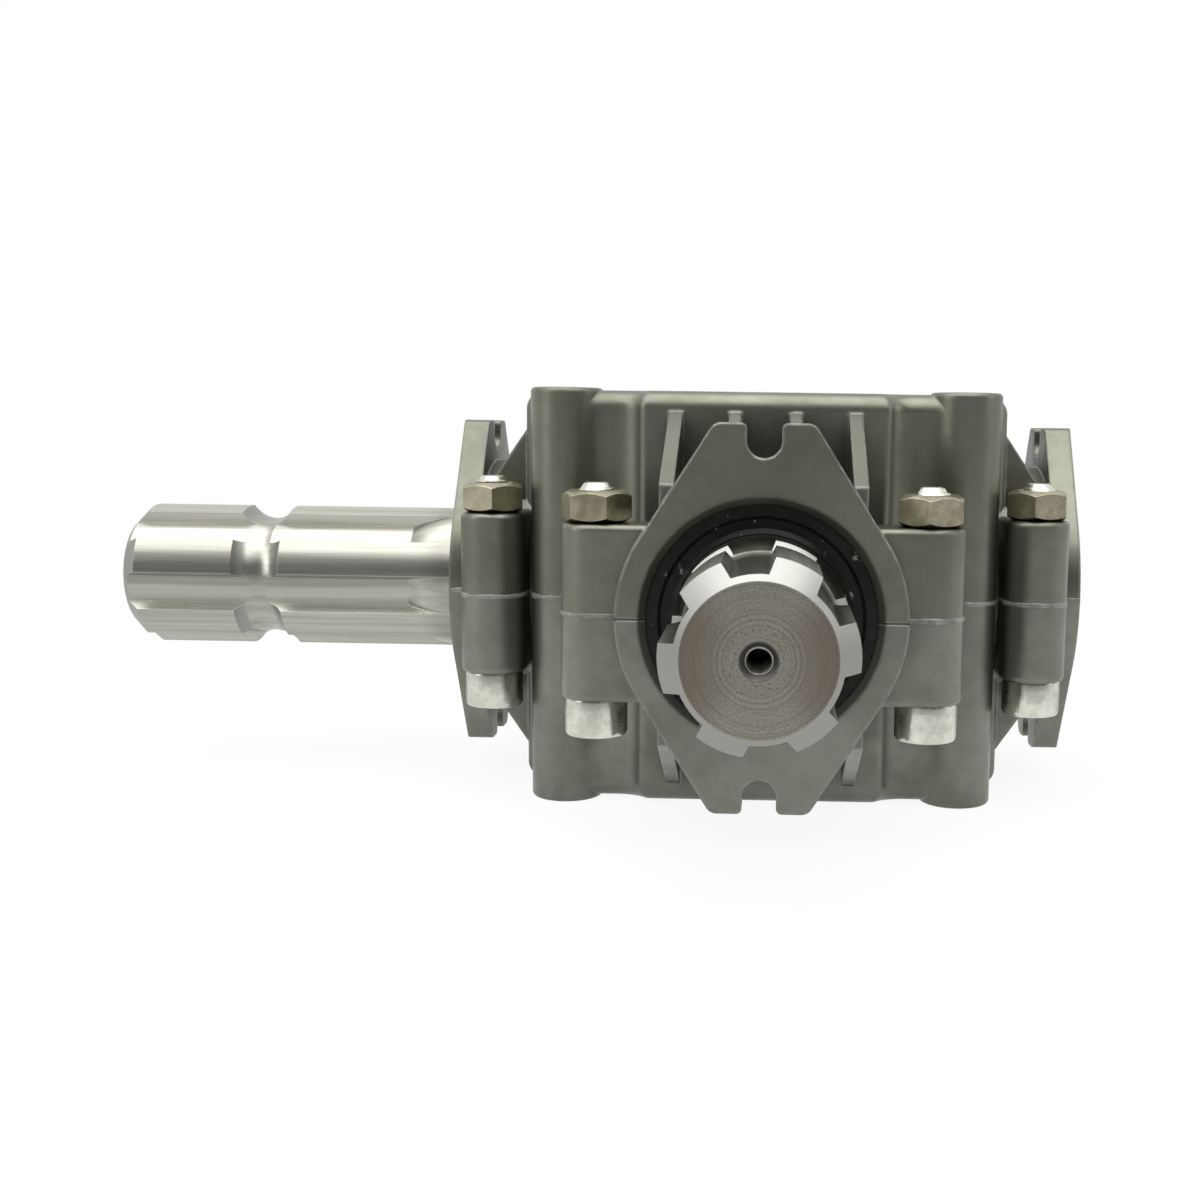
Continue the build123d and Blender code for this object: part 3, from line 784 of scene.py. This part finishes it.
def makeScrews(shape):
    mesh = bmesh.new()
    low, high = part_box("casing_screws")
    bottom, top = low[2], high[2]
    head, edge, shank, tip = shape["head"], shape["edge"], shape["shank"], shape["tip"]
    count = 2 * shape["knurlTeeth"]
    seat = bottom + shape["headHeight"]
    socketFloor = bottom + shape["socketDepth"]
    knurlStart, knurlEnd = shape["knurlEnds"]

    def knurlRing(height):
        return lambda angle: (head - shape["knurl"] * (round(angle * count / (2 * pi)) % 2), height)

    rings = [
        ringAt(shape["socketFloor"], socketFloor),
        hexRing(shape["socketFlats"] - shape["socketTaper"], socketFloor),
        hexRing(shape["socketFlats"], bottom + shape["socketTaper"]),
        ringAt(shape["socketRim"], bottom),
    ]
    rings += [ringAt(head - inset * edge, bottom + rise * edge) for inset, rise in shape["rim"]]
    start = top - shape["threadLength"]
    rings += [
        knurlRing(bottom + knurlStart * edge),
        knurlRing(seat - knurlEnd * edge),
        ringAt(head - shape["seatInset"] * edge, seat),
        ringAt(shank, seat),
        ringAt(shank, start),
    ]
    threaded = shape["threadLength"] - tip
    steps = ceil(stepsPerPitch * threaded / shape["pitch"])
    for step in range(1, steps + 1):
        height = start + threaded * step / steps
        rings.append(threadRing(shank, shape["threadDepth"], shape["pitch"], height, height))
    neck, neckDrop = shape["tipNeck"]
    rings.append(ringAt(shank - shape["threadDepth"] - neck, top - neckDrop * tip))
    rings += [ringAt(shank * share, top - drop * tip) for share, drop in shape["tipProfile"]]
    for index, (x, y) in enumerate(islandCentres("casing_screws")):
        turn = Matrix.Rotation(radians(shape["turnEach"] * index), 4, "Z")
        spinRings(mesh, rings, count, Matrix.Translation((x, y, 0)) @ turn, capped=True)
    piece = addPiece("clamp_screws", mesh, "housing", metals["bright_zinc"],
                     shape["smoothAngle"])
    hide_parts("casing_screws")


centreThread = {
    "outer": 0.00247,
    "crest": 0.00205,
    "root": 0.00244,
    "pitch": 0.001,
    "start": 0.0012,
    "length": 0.0125,
    "steps": 40,
}


def makeCentreThread(name, body, outward, end, shape):
    mesh = bmesh.new()
    placeAt = (Matrix.Translation(Vector((0, 0, axisHeight)) + outward * end)
               @ outward.to_track_quat("Z", "Y").to_matrix().to_4x4())
    turns = ceil(stepsPerPitch * shape["length"] / shape["pitch"])
    rings = []
    for step in range(turns + 1):
        depth = shape["start"] + shape["length"] * step / turns
        rings.append(threadRing(shape["root"], shape["root"] - shape["crest"], shape["pitch"], depth, -depth))
    rings.append(ringAt(shape["outer"], -(shape["start"] + shape["length"])))
    rings.append(ringAt(shape["outer"], -shape["start"]))
    spinRings(mesh, rings, shape["steps"], placeAt, closed=True)
    bmesh.ops.recalc_face_normals(mesh, faces=mesh.faces)
    addPiece(name, mesh, body, metals["gear_steel"])


makeNuts(nutShape)
makeScrews(screwShape)
makeCentreThread("input_centre_thread", "input_shaft", Vector((0, -1, 0)), inputEnd, centreThread)
makeCentreThread("output_centre_thread", "output_shaft", Vector((-1, 0, 0)), outputEnd, centreThread)
print("fasteners and threads are made")


# sealant that has crept out of the joint between the casing halves
beadShape = {
    "section": ((-1.0, -1.0), (0.55, -0.8), (1.0, -0.15), (0.8, 0.5), (0.35, 0.9), (-1.0, 1.0)),
    "step": 0.0007,
    "half": 0.00058,             # half of the height
    "proud": 0.00017,
    "sunk": 0.00015,
    "uneven": 0.45,
    "wavelength": 0.0042,
    "ripple": 0.3,               # length of the ripples against the waves
    "rippleShift": (7, 3, 1),
    "rippleHalf": 0.25,
    "waveProud": 0.3,
    "fewestPoints": 6,
    "smoothAngle": 60,
    "flatWithin": 2e-5,
    "faceClear": 0.0004,         # none on the machined flange faces
    "boreClear": 0.0275,         # inside this the outline belongs to a bore
    "chamberClear": (0.045, 0.035),
    "holeClear": 0.005,
}


def outsideEdges(shape):         # edges of the split face that lie on the outside of the casing
    mesh = weldedCopy("upper_casing")
    holes = islandCentres("casing_screws")
    chamberX, chamberY = shape["chamberClear"]
    found = []
    for edge in mesh.edges:
        onSplit = [face for face in edge.link_faces
                   if all(abs(vert.co.z - axisHeight) < shape["flatWithin"] for vert in face.verts)]
        if len(onSplit) != 1:
            continue
        first, second = [vert.co.copy() for vert in edge.verts]
        middle = (first + second) / 2
        inFront = abs(middle.x) < shape["boreClear"] and middle.y < 0
        inSide = abs(middle.y) < shape["boreClear"]
        inChamber = abs(middle.x) < chamberX and abs(middle.y) < chamberY
        inHole = any((middle.x - x) ** 2 + (middle.y - y) ** 2 < shape["holeClear"] ** 2 for x, y in holes)
        onSideFace = abs(middle.x) > sideReach - shape["faceClear"]
        onFrontFace = middle.y < shape["faceClear"] - frontReach
        if inFront or inSide or inChamber or inHole or onSideFace or onFrontFace:
            continue
        along = (second - first).normalized()
        outward = Vector((along.y, -along.x, 0))
        if outward.dot(middle - onSplit[0].calc_center_median()) < 0:
            outward.negate()
        found.append((first, second, outward))
    mesh.free()
    return found


def chainEdges(edges):           # joins loose edges end to end into paths of points and outward directions
    def key(point):
        return round(point.x, 5), round(point.y, 5)

    def unusedAt(point):
        return [index for index in links[key(point)] if index in unused]

    def hasFreeEnd(index):
        return any(len(unusedAt(point)) == 1 for point in edges[index][:2])

    links = {}
    for index, edge in enumerate(edges):
        for point in edge[:2]:
            links.setdefault(key(point), []).append(index)
    unused = set(range(len(edges)))
    paths = []
    while unused:
        ends = [index for index in sorted(unused) if hasFreeEnd(index)]
        index = ends[0] if ends else min(unused)
        first, second, outward = edges[index]
        if len(unusedAt(first)) > 1:
            first, second = second, first
        path = [(first, outward), (second, outward)]
        unused.discard(index)
        following = unusedAt(second)
        while following:
            index = following[0]
            unused.discard(index)
            one, two, outward = edges[index]
            point = two if key(one) == key(path[-1][0]) else one
            path.append((point, outward))
            following = unusedAt(point)
        paths.append(path)
    return paths


def resamplePath(path, step):
    result = []
    for (start, outStart), (end, outEnd) in zip(path, path[1:]):
        pieces = max(1, round((end - start).length / step))
        outward = outEnd if pieces > 1 else outStart + outEnd
        for index in range(pieces):
            result.append((start.lerp(end, index / pieces), outward.normalized()))
    result.append(path[-1])
    return result


def makeBead(shape):
    mesh = bmesh.new()
    section = shape["section"]
    for path in chainEdges(outsideEdges(shape)):
        points = resamplePath(path, shape["step"])
        if len(points) < shape["fewestPoints"]:
            continue
        rows = []
        for point, outward in points:
            wave = noise.noise(point / shape["wavelength"])
            ripple = noise.noise(point / (shape["ripple"] * shape["wavelength"])
                                 + Vector(shape["rippleShift"]))
            half = shape["half"] * (1 + shape["uneven"] * wave + shape["rippleHalf"] * ripple)
            proud = shape["proud"] * (1 + shape["uneven"] * ripple + shape["waveProud"] * wave)
            row = []
            for out, up in section:
                reach = proud * out if out > 0 else -shape["sunk"]
                row.append(mesh.verts.new(point + outward * reach + Vector((0, 0, half * up))))
            rows.append(row)
        for first, second in zip(rows, rows[1:]):
            for index in range(len(section)):
                after = (index + 1) % len(section)
                mesh.faces.new((first[index], first[after], second[after], second[index]))
        mesh.faces.new(rows[0])
        mesh.faces.new(reversed(rows[-1]))
    bmesh.ops.recalc_face_normals(mesh, faces=mesh.faces)
    addPiece("split_sealant", mesh, "housing", jointSealant(sealantFinish),
             shape["smoothAngle"])


makeBead(beadShape)
print("sealant bead is made")


# floor, lights and surroundings
studio = {
    "floorSize": 4.0,
    "floorGrid": 8,
    "floorColour": (0.80, 0.80, 0.79, 1),
    "floorRoughness": 0.9,
    "floorGlow": 0.92,           # share of plain white that the camera sees in the floor
    "floorFade": (0.22, 0.75),   # distances between which it goes over to white
    "frontSide": 0.09,           # strength of the surroundings on the camera side
    "backSide": 0.70,
    "frontToBack": (-0.75, 0.35),
    "overhead": 0.75,
    "sideToOverhead": (0.25, 0.95),
    "mirroredWhite": (0.1, 0.5), # reflections of what lies behind the part go over to white
    "lampAim": (0, 0, 0.05),
}
lamps = {
    "overhead": {"place": (-0.05, -0.24, 0.80), "size": (1.2, 0.9), "power": 9.0},
    "leftSide": {"place": (-0.75, -0.40, 0.40), "size": (0.35, 0.6), "power": 1.9},
    "rightSide": {"place": (0.80, -0.20, 0.35), "size": (0.25, 0.5), "power": 0.75},
}


def makeFloor(look):
    mesh = bmesh.new()
    bmesh.ops.create_grid(mesh, x_segments=look["floorGrid"], y_segments=look["floorGrid"],
                          size=look["floorSize"] / 2)
    data = bpy.data.meshes.new("floor")
    mesh.to_mesh(data)
    mesh.free()
    floor = bpy.data.objects.new("floor", data)
    scene.collection.objects.link(floor)
    material = bpy.data.materials.new("paleFloor")
    material.use_nodes = True
    tree = material.node_tree
    shader = tree.nodes["Principled BSDF"]
    shader.inputs["Base Color"].default_value = look["floorColour"]
    shader.inputs["Roughness"].default_value = look["floorRoughness"]
    white = addNode(tree, "Emission", {"Color": (1, 1, 1, 1), "Strength": 1.0})
    place = addNode(tree, "TexCoord").outputs["Object"]
    distance = addNode(tree, "VectorMath", {0: place}, operation="LENGTH").outputs["Value"]
    glow = rescale(tree, distance, *look["floorFade"], look["floorGlow"], 1.0)
    light = addNode(tree, "LightPath").outputs
    seen = calculate(tree, "MAXIMUM", light["Is Camera Ray"], light["Is Glossy Ray"])
    seen = calculate(tree, "MAXIMUM", seen, light["Is Transmission Ray"])
    factor = calculate(tree, "MULTIPLY", glow, seen)
    mixed = addNode(tree, "MixShader", {0: factor, 1: shader.outputs[0], 2: white.outputs[0]})
    tree.links.new(mixed.outputs[0], tree.nodes["Material Output"].inputs["Surface"])
    data.materials.append(material)


def makeWorld(look):
    world = bpy.data.worlds.new("surroundings")
    scene.world = world
    world.use_nodes = True
    tree = world.node_tree
    background = tree.nodes["Background"]
    direction = addNode(tree, "SeparateXYZ", {0: addNode(tree, "TexCoord").outputs["Generated"]}).outputs
    toBack = rescale(tree, direction["Y"], *look["frontToBack"])
    upward = rescale(tree, direction["Z"], *look["sideToOverhead"], 0.0, look["overhead"])
    sides = calculate(tree, "MULTIPLY_ADD", toBack, look["backSide"] - look["frontSide"], look["frontSide"])
    strength = calculate(tree, "ADD", sides, upward)
    light = addNode(tree, "LightPath").outputs
    behind = rescale(tree, direction["Y"], *look["mirroredWhite"])
    glossy = calculate(tree, "MULTIPLY", light["Is Glossy Ray"], behind)
    seen = calculate(tree, "MAXIMUM", light["Is Camera Ray"], light["Is Transmission Ray"])
    seen = calculate(tree, "MAXIMUM", seen, glossy)
    tree.links.new(blendValue(tree, seen, strength, 1.0), background.inputs["Strength"])
    background.inputs["Color"].default_value = (1, 1, 1, 1)


def makeLamps(settings, aim):
    for name, lamp in settings.items():
        data = bpy.data.lights.new(name, "AREA")
        data.shape = "RECTANGLE"
        data.size, data.size_y = lamp["size"]
        data.energy = lamp["power"]
        light = bpy.data.objects.new(name, data)
        scene.collection.objects.link(light)
        light.location = lamp["place"]
        toward = Vector(aim) - Vector(lamp["place"])
        light.rotation_euler = toward.to_track_quat("-Z", "Y").to_euler()


makeFloor(studio)
makeWorld(studio)
makeLamps(lamps, studio["lampAim"])
scene.view_settings.view_transform = "Standard"
print("stage and light are set")
